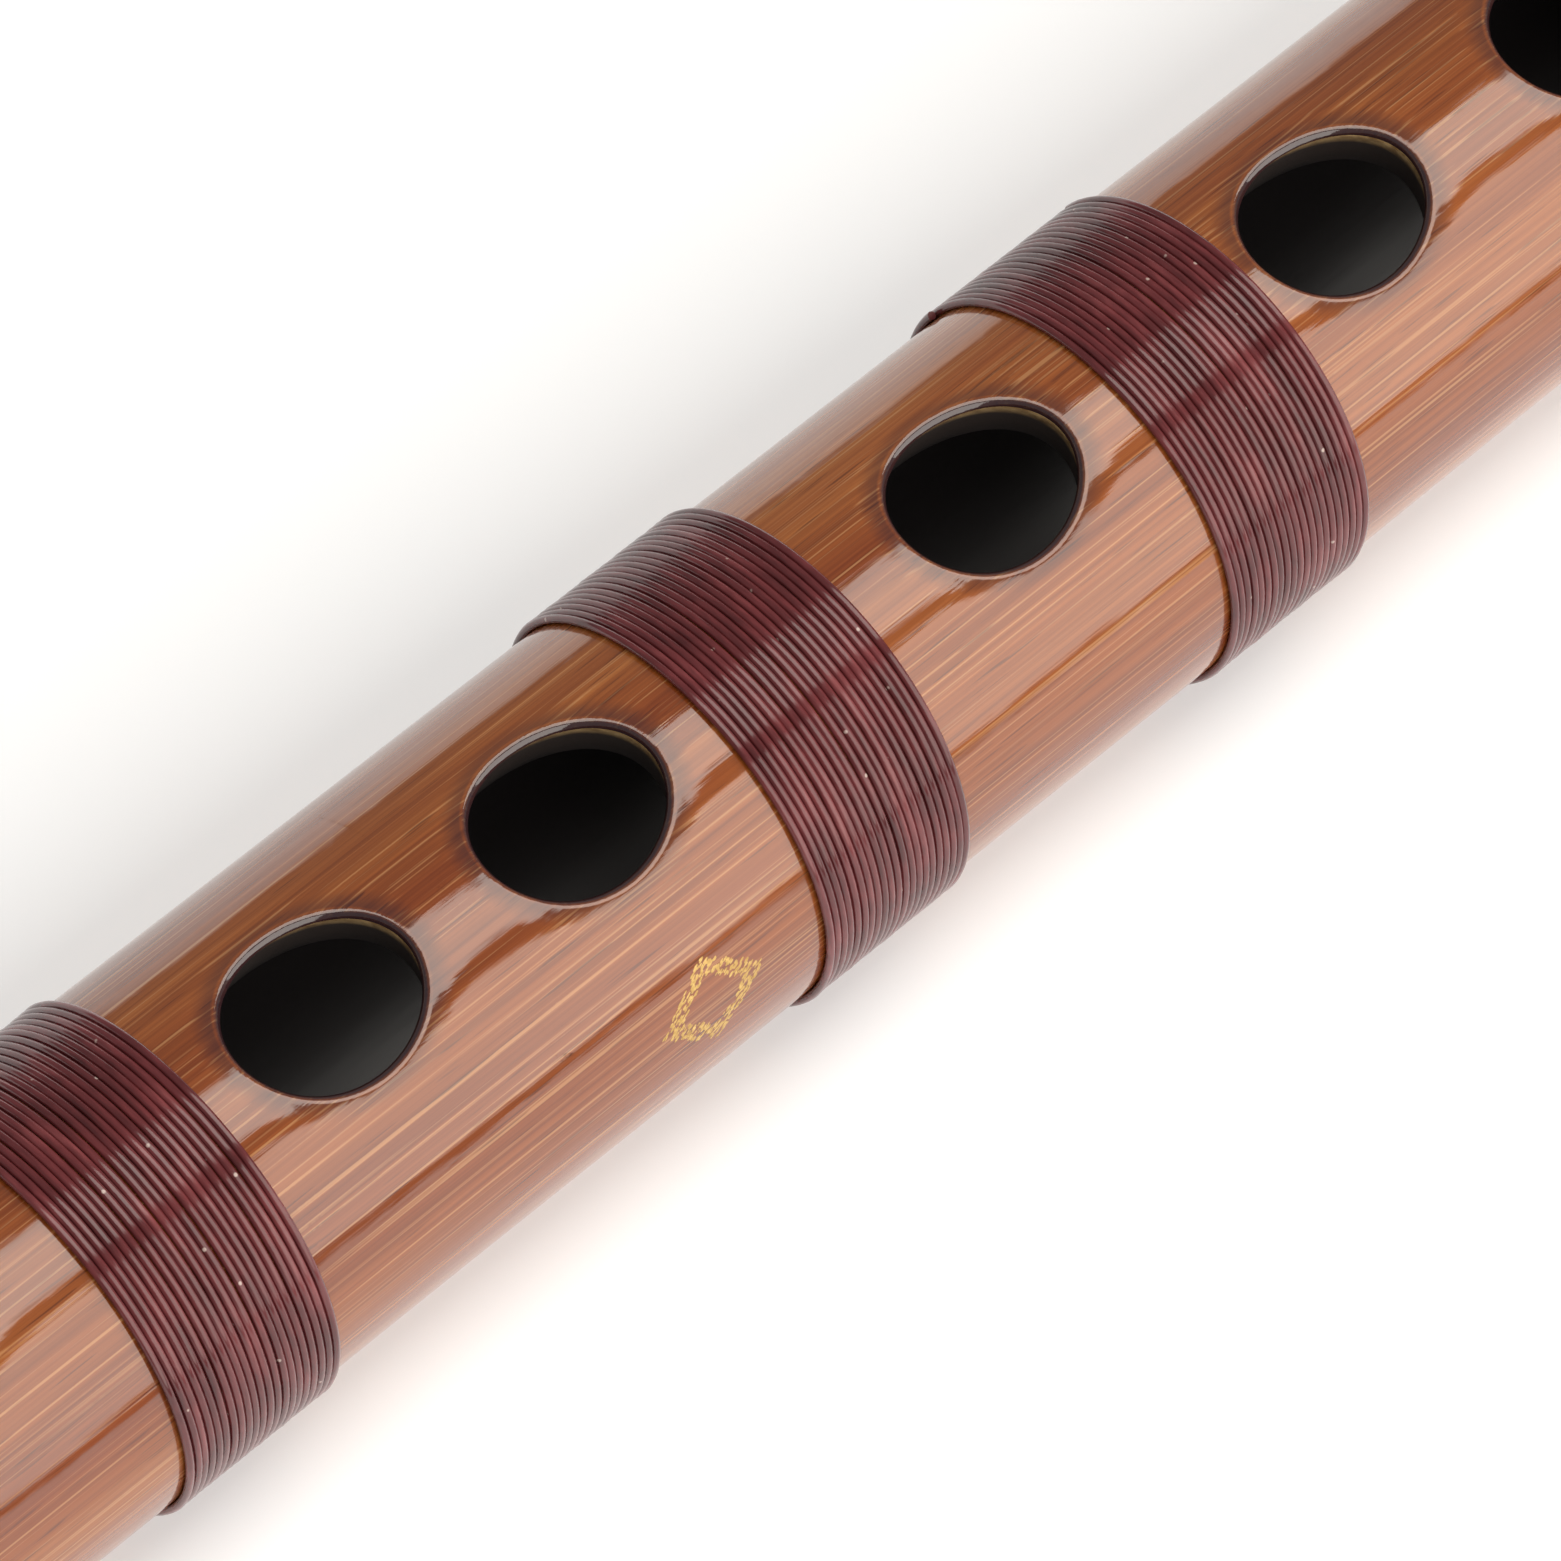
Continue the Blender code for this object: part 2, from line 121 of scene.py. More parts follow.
def makeGrainGroup():
    # Noise stretched along X: one value from a position, a scale along the tube and one across it
    group = bpy.data.node_groups.new("stretchedGrain", "ShaderNodeTree")
    group.interface.new_socket(name="Position", in_out="INPUT", socket_type="NodeSocketVector")
    for name in ("Along", "Across", "Detail"):
        group.interface.new_socket(name=name, in_out="INPUT", socket_type="NodeSocketFloat")
    group.interface.new_socket(name="Value", in_out="OUTPUT", socket_type="NodeSocketFloat")
    source = addNode(group, "NodeGroupInput")
    target = addNode(group, "NodeGroupOutput")
    scale = addNode(group, "ShaderNodeCombineXYZ")
    stretch = addNode(group, "ShaderNodeVectorMath", operation="MULTIPLY")
    noise = addNode(group, "ShaderNodeTexNoise")
    noise.inputs["Scale"].default_value = 1.0
    noise.inputs["Roughness"].default_value = 0.6
    group.links.new(source.outputs["Along"], scale.inputs["X"])
    group.links.new(source.outputs["Across"], scale.inputs["Y"])
    group.links.new(source.outputs["Across"], scale.inputs["Z"])
    group.links.new(source.outputs["Position"], stretch.inputs[0])
    group.links.new(scale.outputs["Vector"], stretch.inputs[1])
    group.links.new(stretch.outputs["Vector"], noise.inputs["Vector"])
    group.links.new(source.outputs["Detail"], noise.inputs["Detail"])
    group.links.new(noise.outputs["Fac"], target.inputs["Value"])
    return group


grainGroup = makeGrainGroup()


def newMaterial(name, sockets):
    material = bpy.data.materials.new(name)
    material.use_nodes = True
    tree = material.node_tree
    shader = tree.nodes["Principled BSDF"]
    for key, value in sockets.items():
        shader.inputs[key].default_value = value
    position = addNode(tree, "ShaderNodeTexCoord").outputs["Object"]
    return material, tree, shader, position


def grain(tree, position, along, across, detail):
    node = addNode(tree, "ShaderNodeGroup", node_tree=grainGroup)
    feed(tree, node.inputs["Position"], position)
    feed(tree, node.inputs["Along"], along)
    feed(tree, node.inputs["Across"], across)
    feed(tree, node.inputs["Detail"], detail)
    return node.outputs["Value"]


def cells(tree, position, scale):
    # Distance to the nearest of many scattered points
    node = addNode(tree, "ShaderNodeTexVoronoi")
    feed(tree, node.inputs["Scale"], scale)
    feed(tree, node.inputs["Vector"], position)
    return node.outputs["Distance"]


def depthValue(tree):
    # How far into the piece a point lies, from the mesh's own attribute
    return addNode(tree, "ShaderNodeAttribute", attribute_name="depth").outputs["Fac"]


def ramp(tree, value, stops):
    # A colour ramp from a list of (place, colour) stops
    node = addNode(tree, "ShaderNodeValToRGB")
    elements = node.color_ramp.elements
    while len(elements) < len(stops):
        elements.new(0.5)
    for element, (at, color) in zip(elements, stops):
        element.position = at
        element.color = (*color, 1.0)
    feed(tree, node.inputs["Fac"], value)
    return node.outputs["Color"]


def mixColor(tree, factor, first, second, blend="MIX"):
    node = addNode(tree, "ShaderNodeMix", data_type="RGBA", blend_type=blend)
    feed(tree, node.inputs[0], factor)
    feed(tree, node.inputs[6], first)
    feed(tree, node.inputs[7], second)
    return node.outputs[2]


def mathNode(tree, operation, first, second):
    node = addNode(tree, "ShaderNodeMath", operation=operation)
    feed(tree, node.inputs[0], first)
    feed(tree, node.inputs[1], second)
    return node.outputs[0]


def mapRange(tree, value, low, high, toLow, toHigh):
    node = addNode(tree, "ShaderNodeMapRange")
    feed(tree, node.inputs["Value"], value)
    for key, number in (("From Min", low), ("From Max", high), ("To Min", toLow), ("To Max", toHigh)):
        node.inputs[key].default_value = number
    return node.outputs["Result"]


def bump(tree, shader, height, distance, strength):
    node = addNode(tree, "ShaderNodeBump")
    node.inputs["Distance"].default_value = distance
    node.inputs["Strength"].default_value = strength
    feed(tree, node.inputs["Height"], height)
    feed(tree, shader.inputs["Normal"], node.outputs["Normal"])


# In the finishes below, a grain is (scale along the tube, scale across it, detail), a ramp is a list of
# (place, colour), a range is (from low, from high, to low, to high) and a bump is (distance, strength)

# The depth attribute on a tube: 0 on the outside, up to these at a hole's edge, down its wall and inside
depthAt = {"dish": 0.012, "rim": 0.04, "wallTop": 0.08, "wallSpan": 0.8, "bore": 1.2}

bambooFinish = {
    "sockets": {"IOR": 1.75},
    "broad": (9.0, 190.0, 2.0),
    "fibre": (20.0, 2300.0, 4.0),
    "fine": (45.0, 6500.0, 2.0),
    "pale": (22.0, 5600.0, 1.0),
    "dash": (190.0, 5600.0, 1.0),
    "wallGrain": (900.0, 1500.0, 3.0),
    "pooled": (100.0, 380.0, 2.0),
    "ripple": (330.0, 900.0, 2.0),
    "browns": [(0.34, (0.170, 0.036, 0.0070)), (0.52, (0.228, 0.058, 0.0115)),
               (0.68, (0.290, 0.088, 0.0190))],
    "fibreTints": [(0.30, (0.70, 0.62, 0.58)), (0.50, (1.0, 1.0, 1.0)), (0.70, (1.25, 1.42, 1.55))],
    "fibreShare": 0.8,
    "fineTints": [(0.35, (0.80, 0.76, 0.74)), (0.62, (1.15, 1.20, 1.25))],
    "fineShare": 0.7,
    "paleRange": (0.58, 0.70, 0.0, 0.42),
    "paleColor": (0.56, 0.29, 0.12),
    "dashRange": (0.65, 0.72, 0.0, 0.55),
    "dashColor": (0.045, 0.009, 0.004),
    "rimRange": (0.003, 0.02, 0.0, 0.92),
    "rimColor": (0.018, 0.010, 0.015),
    "rawRange": (0.045, 0.07, 0.0, 1.0),
    "rawWood": [(0.35, (0.34, 0.19, 0.07)), (0.65, (0.80, 0.54, 0.25))],
    "wallRange": (0.15, 0.36, 0.0, 1.0),
    "wallColor": (0.034, 0.023, 0.020),
    "boreRange": (0.6, 1.0, 0.0, 1.0),
    "boreColor": (0.018, 0.014, 0.015),
    "glossRange": (0.3, 0.7, 0.045, 0.085),
    "roughRange": (0.05, 0.3, 0.0, 0.45),
    "fibreHeight": 0.22,
    "rippleHeight": 0.16,
    "bump": (0.000052, 0.8),
}


def makeBamboo():
    # Lacquered bamboo outside, dark lacquer on the holes' rims, a thin raw golden edge below it, then
    # the dark stained wall and bore
    finish = bambooFinish
    material, tree, shader, position = newMaterial("lacqueredBamboo", finish["sockets"])
    fibre = grain(tree, position, *finish["fibre"])
    base = ramp(tree, grain(tree, position, *finish["broad"]), finish["browns"])
    streak = ramp(tree, fibre, finish["fibreTints"])
    base = mixColor(tree, finish["fibreShare"], base, streak, "MULTIPLY")
    thin = ramp(tree, grain(tree, position, *finish["fine"]), finish["fineTints"])
    base = mixColor(tree, finish["fineShare"], base, thin, "MULTIPLY")
    for name in ("pale", "dash"):
        share = mapRange(tree, grain(tree, position, *finish[name]), *finish[name + "Range"])
        base = mixColor(tree, share, base, finish[name + "Color"])
    raw = ramp(tree, grain(tree, position, *finish["wallGrain"]), finish["rawWood"])
    depth = depthValue(tree)
    for name, color in (("rim", finish["rimColor"]), ("raw", raw), ("wall", finish["wallColor"]),
                        ("bore", finish["boreColor"])):
        base = mixColor(tree, mapRange(tree, depth, *finish[name + "Range"]), base, color)
    feed(tree, shader.inputs["Base Color"], base)
    gloss = mapRange(tree, fibre, *finish["glossRange"])
    rough = mapRange(tree, depth, *finish["roughRange"])
    feed(tree, shader.inputs["Roughness"], mathNode(tree, "ADD", gloss, rough))
    height = mathNode(tree, "MULTIPLY", fibre, finish["fibreHeight"])
    height = mathNode(tree, "ADD", height, grain(tree, position, *finish["pooled"]))
    ripple = mathNode(tree, "MULTIPLY", grain(tree, position, *finish["ripple"]), finish["rippleHeight"])
    height = mathNode(tree, "ADD", height, ripple)
    bump(tree, shader, height, *finish["bump"])
    return material


threadFinish = {
    "sockets": {"IOR": 1.55},
    "patch": (900.0, 190.0, 3.0),
    "ply": (6000.0, 900.0, 2.0),
    "maroons": [(0.32, (0.068, 0.013, 0.014)), (0.55, (0.120, 0.023, 0.025)), (0.75, (0.190, 0.046, 0.048))],
    "plyTints": [(0.3, (0.75, 0.72, 0.72)), (0.7, (1.25, 1.25, 1.25))],
    "plyShare": 0.7,
    "dustScale": 620.0,
    "dustRange": (0.04, 0.075, 0.6, 0.0),
    "dustColor": (0.62, 0.50, 0.44),
    "roughRange": (0.3, 0.7, 0.08, 0.16),
    "bump": (0.000012, 0.5),
}


def makeThread():
    # Maroon thread in patches of light and dark, with its ply, a few flecks of dust and a coat of lacquer
    finish = threadFinish
    material, tree, shader, position = newMaterial("maroonThread", finish["sockets"])
    patch = grain(tree, position, *finish["patch"])
    ply = grain(tree, position, *finish["ply"])
    base = ramp(tree, patch, finish["maroons"])
    base = mixColor(tree, finish["plyShare"], base, ramp(tree, ply, finish["plyTints"]), "MULTIPLY")
    fleck = mapRange(tree, cells(tree, position, finish["dustScale"]), *finish["dustRange"])
    feed(tree, shader.inputs["Base Color"], mixColor(tree, fleck, base, finish["dustColor"]))
    feed(tree, shader.inputs["Roughness"], mapRange(tree, patch, *finish["roughRange"]))
    bump(tree, shader, ply, *finish["bump"])
    return material


# Three plain finishes: one grain gives the colour and the gloss, and one the bump where there is any
plainFinishes = {
    "agedBrass": {
        "sockets": {"Metallic": 1.0},
        "grain": (260.0, 260.0, 4.0),
        "colors": [(0.35, (0.53, 0.35, 0.14)), (0.62, (0.66, 0.46, 0.20))],
        "roughRange": (0.3, 0.7, 0.27, 0.20),
        "bumpGrain": (14000.0, 60.0, 2.0),
        "bump": (0.000004, 0.5),
    },
    "polishedBone": {
        "sockets": {"IOR": 1.5},
        "grain": (160.0, 1300.0, 3.0),
        "colors": [(0.3, (0.50, 0.40, 0.25)), (0.6, (0.66, 0.58, 0.42)), (0.8, (0.72, 0.66, 0.52))],
        "roughRange": (0.3, 0.7, 0.26, 0.18),
        "bumpGrain": (160.0, 1300.0, 3.0),
        "bump": (0.000012, 0.5),
    },
    "goldLeaf": {
        "sockets": {"Metallic": 0.7},
        "grain": (5000.0, 5000.0, 2.0),
        "colors": [(0.3, (0.42, 0.24, 0.065)), (0.7, (0.70, 0.47, 0.17))],
        "roughRange": (0.3, 0.7, 0.42, 0.28),
    },
}


def makePlainFinish(name):
    finish = plainFinishes[name]
    material, tree, shader, position = newMaterial(name, finish["sockets"])
    value = grain(tree, position, *finish["grain"])
    feed(tree, shader.inputs["Base Color"], ramp(tree, value, finish["colors"]))
    feed(tree, shader.inputs["Roughness"], mapRange(tree, value, *finish["roughRange"]))
    if "bump" in finish:
        bump(tree, shader, grain(tree, position, *finish["bumpGrain"]), *finish["bump"])
    return material


corkFinish = {
    "sockets": {"Roughness": 0.85},
    "cellScale": 1400.0,
    "browns": [(0.1, (0.10, 0.055, 0.025)), (0.5, (0.36, 0.22, 0.11))],
    "bump": (0.0001, 0.7),
}


def makeCork():
    material, tree, shader, position = newMaterial("cork", corkFinish["sockets"])
    cell = cells(tree, position, corkFinish["cellScale"])
    feed(tree, shader.inputs["Base Color"], ramp(tree, cell, corkFinish["browns"]))
    bump(tree, shader, cell, *corkFinish["bump"])
    return material


filmFinish = {
    "sockets": {"Roughness": 0.38, "IOR": 1.45},
    "crease": (5200.0, 240.0, 3.0),
    "straws": [(0.3, (0.44, 0.34, 0.19)), (0.7, (0.62, 0.52, 0.33))],
    "shadow": (0.20, 0.15, 0.09),
    "shadowShare": 0.45,
    "bump": (0.00006, 0.7),
}


def makeFilm():
    # Straw coloured film, darker where the hole shows through it
    material, tree, shader, position = newMaterial("reedFilm", filmFinish["sockets"])
    crease = grain(tree, position, *filmFinish["crease"])
    share = mathNode(tree, "MULTIPLY", depthValue(tree), filmFinish["shadowShare"])
    base = mixColor(tree, share, ramp(tree, crease, filmFinish["straws"]), filmFinish["shadow"])
    feed(tree, shader.inputs["Base Color"], base)
    bump(tree, shader, crease, *filmFinish["bump"])
    return material


bamboo = makeBamboo()
thread = makeThread()
brass = makePlainFinish("agedBrass")
bone = makePlainFinish("polishedBone")
goldLeaf = makePlainFinish("goldLeaf")
cork = makeCork()
film = makeFilm()
print("materials made")

# The tubes, in metres; stations count from the joint, positive to the head
tube = {
    "radius": 0.0105,
    "bore": 0.007,
    "columns": 128,                 # points round the tube
    "rowStep": 0.00086,             # along the tube
    "rowMargin": 0.3,               # of a row's step, kept clear beside a turned shoulder
    "waviness": 0.000035,           # how far the planed bamboo strays from round
    "waves": (2, 3, 5, 7),          # waves round the tube
    "wavePace": (60.0, 190.0),      # radians in a metre along it
    "steadyShare": 0.6,             # of the stray that is the same all along
    "planedMargin": 1e-5,           # the stray is left off surfaces turned down by more
    "ferruleSpigot": 0.0099,        # radius under a ferrule
    "ringSpigot": 0.0097,           # radius under an end ring
    "ferruleShoulder": 0.0103,      # from the joint
    "ringShoulder": 0.0083,         # from the tube's end ring
    "shoulderWidth": 0.00002,
    "tenonSeat": (-0.0183, 0.0079),     # station and radius of the wider bore round the tenon
    "socketSeat": (0.0213, 0.0086),     # and round the socket
    "patchRings": 11,
    "patchBias": 1.4,               # draws a patch's rings towards the rim
    "edgeRadius": 0.00042,          # rounding of the holes' rims
    "edgeRings": 6,
    "wallRings": 8,
    "boreRings": 4,
    "dishDepth": 0.00008,           # how far the surface sinks towards a hole
    "dishWidth": 0.0008,
    "weld": 2e-6,
}
footSeed = 4
headSeed = 9

# Each hole: station, angle from straight up towards +Y, half length and width at the surface and at
# the bore, and how many rows and columns its patch of the tube reaches each way
fingerHole = {"half": (0.0049, 0.0042), "inner": (0.0055, 0.0048), "rows": 9, "columns": 18, "angle": 0}
toneHole = {"half": (0.0040, 0.0040), "inner": (0.0036, 0.0030), "rows": 8, "columns": 10}
tasselHole = {"half": (0.0030, 0.0030), "inner": (0.0030, 0.0030), "rows": 7, "columns": 14}
blowHole = {"half": (0.0050, 0.0044), "inner": (0.0056, 0.0048), "rows": 9, "columns": 18, "angle": 0}
membraneHole = {"half": (0.0038, 0.0033), "inner": (0.0040, 0.0035), "rows": 8, "columns": 14, "angle": 0}
fingerStations = (-0.0300, -0.0472, -0.0705, -0.0969, -0.1120, -0.1390)
footHoles = [dict(fingerHole, station=station) for station in fingerStations]
footHoles += [dict(toneHole, station=-0.1660, angle=angle) for angle in (152, 208)]
footHoles += [dict(tasselHole, station=-0.1960, angle=angle) for angle in (90, 270)]
headHoles = [dict(blowHole, station=0.1000), dict(membraneHole, station=0.0320)]


def strayFromRound(station, angle, seed):
    # Bamboo isn't quite round: a sum of slow waves along the tube times waves round it, and of waves
    # round it that stay the same
    rng = np.random.default_rng(seed)
    total = 0.0
    for around in tube["waves"]:
        along = rng.uniform(*tube["wavePace"])
        phases = rng.uniform(0.0, math.tau, 2)
        total = total + np.sin(along * station + phases[0]) * np.cos(around * angle + phases[1]) / around
        total = total + tube["steadyShare"] * np.cos(around * angle + phases[0] * 2) / around
    return tube["waviness"] * total


def dish(station, angle, half):
    # The surface sinks towards a hole: a bell curve of the distance outside its rim
    across = angle * tube["radius"]
    size = np.sqrt((station / half[0]) ** 2 + (across / half[1]) ** 2)
    outside = np.maximum(size - 1.0, 0.0) * (half[0] + half[1]) / 2
    return tube["dishDepth"] * np.exp(-(outside / tube["dishWidth"]) ** 2)


def oval(theta, half, radius):
    # Station and angle of an oval that is flat when seen from above, on a cylinder of that radius
    return half[0] * np.cos(theta), np.arcsin(np.clip(half[1] * np.sin(theta) / radius, -1, 1))


def gridStations(low, high, shoulders):
    # Even stations, except that each shoulder's own stations take the place of those beside them
    even = np.linspace(low, high, int((high - low) / tube["rowStep"]) + 1)
    shoulders = np.array(shoulders)
    nearest = np.abs(even[:, None] - shoulders[None, :]).min(axis=1)
    clear = nearest > tube["rowStep"] * tube["rowMargin"]
    clear[[0, -1]] = True
    inside = (shoulders > low) & (shoulders < high)
    return np.sort(np.concatenate([even[clear], shoulders[inside]]))


def patchBorder(low, high, left, right):
    # Row and column of each grid point round a patch, in order
    return np.concatenate([
        np.stack([np.full(right - left, low), np.arange(left, right)], 1),
        np.stack([np.arange(low, high), np.full(high - low, right)], 1),
        np.stack([np.full(right - left, high), np.arange(right, left, -1)], 1),
        np.stack([np.arange(high, low, -1), np.full(high - low, left)], 1),
    ])


def makeHoleRings(hole, borderS, borderA, outerRadius, innerRadius):
    # Rings of points from a patch's border in to the rim, over its quarter round, down the wall, and out
    # along the bore to the border again: each ring is a share of the border's place and of the oval's
    centre = hole["station"]
    turn = math.radians(hole["angle"])
    edge = tube["edgeRadius"]
    length, width = hole["half"]
    innerLength, innerWidth = hole["inner"]
    theta = np.arctan2(borderA / (hole["columns"] * math.tau / tube["columns"]),
                       borderS / (hole["rows"] * tube["rowStep"]))
    count = len(theta)

    rimS, rimA = oval(theta, (length + edge, width + edge), tube["radius"])
    share = (np.linspace(1.0, 0.0, tube["patchRings"]) ** tube["patchBias"])[:, None]
    ringS = share * borderS + (1 - share) * rimS + centre
    ringA = share * borderA + (1 - share) * rimA + turn
    sunk = dish(ringS - centre, ringA - turn, (length + edge, width + edge))
    sunk[0] = 0.0
    rings = [place(ringS, outerRadius(ringS, ringA) - sunk, ringA)]
    depths = [sunk / tube["dishDepth"] * depthAt["dish"]]

    for ring in range(1, tube["edgeRings"] + 1):
        bend = ring / tube["edgeRings"] * math.pi / 2
        out = edge * (1 - math.sin(bend))
        s, v = oval(theta, (length + out, width + out), tube["radius"])
        drop = edge * (1 - math.cos(bend)) + tube["dishDepth"]
        rings.append(place(s + centre, outerRadius(s + centre, v + turn) - drop, v + turn)[None])
        depths.append(np.full((1, count), depthAt["rim"] * ring / tube["edgeRings"]))

    for ring in range(1, tube["wallRings"] + 1):
        down = ring / tube["wallRings"]
        radius = (tube["radius"] - edge) * (1 - down) + tube["bore"] * down
        half = (length * (1 - down) + innerLength * down, width * (1 - down) + innerWidth * down)
        s, v = oval(theta, half, radius)
        rings.append(place(s + centre, radius, v + turn)[None])
        depths.append(np.full((1, count), depthAt["wallTop"] + depthAt["wallSpan"] * down))

    innerS, innerA = oval(theta, hole["inner"], tube["bore"])
    share = np.linspace(0.0, 1.0, tube["boreRings"] + 1)[1:, None]
    ringS = share * borderS + (1 - share) * innerS + centre
    ringA = share * borderA + (1 - share) * innerA + turn
    rings.append(place(ringS, innerRadius(ringS), ringA))
    depths.append(np.full((tube["boreRings"], count), depthAt["bore"]))
    return np.concatenate(rings), np.concatenate(depths)


def makeTube(name, node, body, lowX, highX, outline, boreLine, holes, seed):
    # The tube is two grids, station by angle: the outer one at the outline's radius, the inner one at
    # the bore's. Round each hole a patch of both grids gives way to the hole's rings
    columns = tube["columns"]
    stations = gridStations(lowX - jointX, highX - jointX, [station for station, _ in outline + boreLine])
    angles = np.arange(columns) * math.tau / columns
    rows = len(stations)
    size = rows * columns

    def outerRadius(station, angle):
        plain = np.interp(station, [s for s, _ in outline], [r for _, r in outline])
        planed = plain > tube["radius"] - tube["planedMargin"]
        return plain + np.where(planed, strayFromRound(station, angle, seed), 0.0)

    def innerRadius(station):
        return np.interp(station, [s for s, _ in boreLine], [r for _, r in boreLine])

    sGrid, aGrid = np.meshgrid(stations, angles, indexing="ij")
    points = [
        place(sGrid, outerRadius(sGrid, aGrid), aGrid).reshape(-1, 3),
        place(sGrid, innerRadius(sGrid), aGrid).reshape(-1, 3),
    ]
    depths = [np.zeros(size), np.full(size, depthAt["bore"])]
    keep = np.ones((rows - 1, columns), bool)
    quads = []
    total = 2 * size
    for hole in holes:
        turn = math.radians(hole["angle"])
        reach = hole["rows"] * tube["rowStep"]
        low = int(np.searchsorted(stations, hole["station"] - reach))
        high = int(np.searchsorted(stations, hole["station"] + reach))
        middle = round(turn / math.tau * columns)
        left, right = middle - hole["columns"], middle + hole["columns"]
        keep[low:high, np.arange(left, right) % columns] = False
        border = patchBorder(low, high, left, right)
        borderS = stations[border[:, 0]] - hole["station"]
        borderA = border[:, 1] * math.tau / columns - turn
        rings, ringDepths = makeHoleRings(hole, borderS, borderA, outerRadius, innerRadius)
        points.append(rings.reshape(-1, 3))
        depths.append(ringDepths.ravel())
        quads.append(gridQuads(rings.shape[0], rings.shape[1], total))
        total += rings.shape[0] * rings.shape[1]
    quads.append(gridQuads(rows, columns)[keep])
    quads.append(gridQuads(rows, columns, size)[keep])
    around = np.arange(columns)
    after = (around + 1) % columns
    for row in (0, size - columns):
        quads.append(np.stack([row + around, row + after, size + row + after, size + row + around], 1))
    piece = makePiece(name, np.concatenate(points), quads, body, node, bamboo,
                      np.concatenate(depths), tube["weld"])
    print(name, "made:", len(piece.data.polygons), "faces")


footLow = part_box("foot_tube")[0][0]
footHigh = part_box("foot_tube")[1][0]
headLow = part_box("head_tube")[0][0]
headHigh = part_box("head_tube")[1][0]
shoulderWidth = tube["shoulderWidth"]
ferruleShoulder = tube["ferruleShoulder"]
footShoulder = footEndX - jointX + tube["ringShoulder"]
headShoulder = headEndX - jointX - tube["ringShoulder"]
tenonSeat, tenonSeatRadius = tube["tenonSeat"]
socketSeat, socketSeatRadius = tube["socketSeat"]
footOutline = [
    (footLow - jointX, tube["ringSpigot"]),
    (footShoulder, tube["ringSpigot"]),
    (footShoulder + shoulderWidth, tube["radius"]),
    (-ferruleShoulder - shoulderWidth, tube["radius"]),
    (-ferruleShoulder, tube["ferruleSpigot"]),
    (footHigh - jointX, tube["ferruleSpigot"]),
]
footBore = [
    (footLow - jointX, tube["bore"]),
    (tenonSeat - shoulderWidth, tube["bore"]),
    (tenonSeat, tenonSeatRadius),
    (footHigh - jointX, tenonSeatRadius),
]
headOutline = [
    (headLow - jointX, tube["ferruleSpigot"]),
    (ferruleShoulder, tube["ferruleSpigot"]),
    (ferruleShoulder + shoulderWidth, tube["radius"]),
    (headShoulder - shoulderWidth, tube["radius"]),
    (headShoulder, tube["ringSpigot"]),
    (headHigh - jointX, tube["ringSpigot"]),
]
headBore = [
    (headLow - jointX, socketSeatRadius),
    (socketSeat, socketSeatRadius),
    (socketSeat + shoulderWidth, tube["bore"]),
    (headHigh - jointX, tube["bore"]),
]
makeTube("footTube", "foot_tube", "foot_section", footLow, footHigh, footOutline, footBore, footHoles,
         footSeed)
makeTube("headTube", "head_tube", "head_section", headLow, headHigh, headOutline, headBore, headHoles,
         headSeed)

bindings = {
    "thread": 0.00044,          # diameter
    "outer": 0.01095,
    "turns": 21,
    "pointsPerTurn": 96,
    "sides": 8,
    "paces": (0.37, 0.83, 1.31, 2.17, 3.4),     # waves in a turn that make up the wander
    "stray": 0.000012,          # sideways wander of the thread
    "lift": 0.000012,           # how far a turn rides up
    "liftCeiling": 5.0,         # the most that the waves of lift can add up to
    "flare": 0.00003,           # how far the first and last turns stand off
    "flareTurns": 0.35,
}
footBindings = ["binding_joint_foot_side", "binding_hole_4", "binding_hole_3", "binding_hole_2",
                "binding_hole_1", "binding_tone_holes", "binding_tassel_holes", "binding_foot_end"]
headBindings = ["binding_head_end", "binding_head_middle", "binding_blow_hole_head_side",
                "binding_blow_hole_foot_side", "binding_membrane", "binding_joint_head_side"]


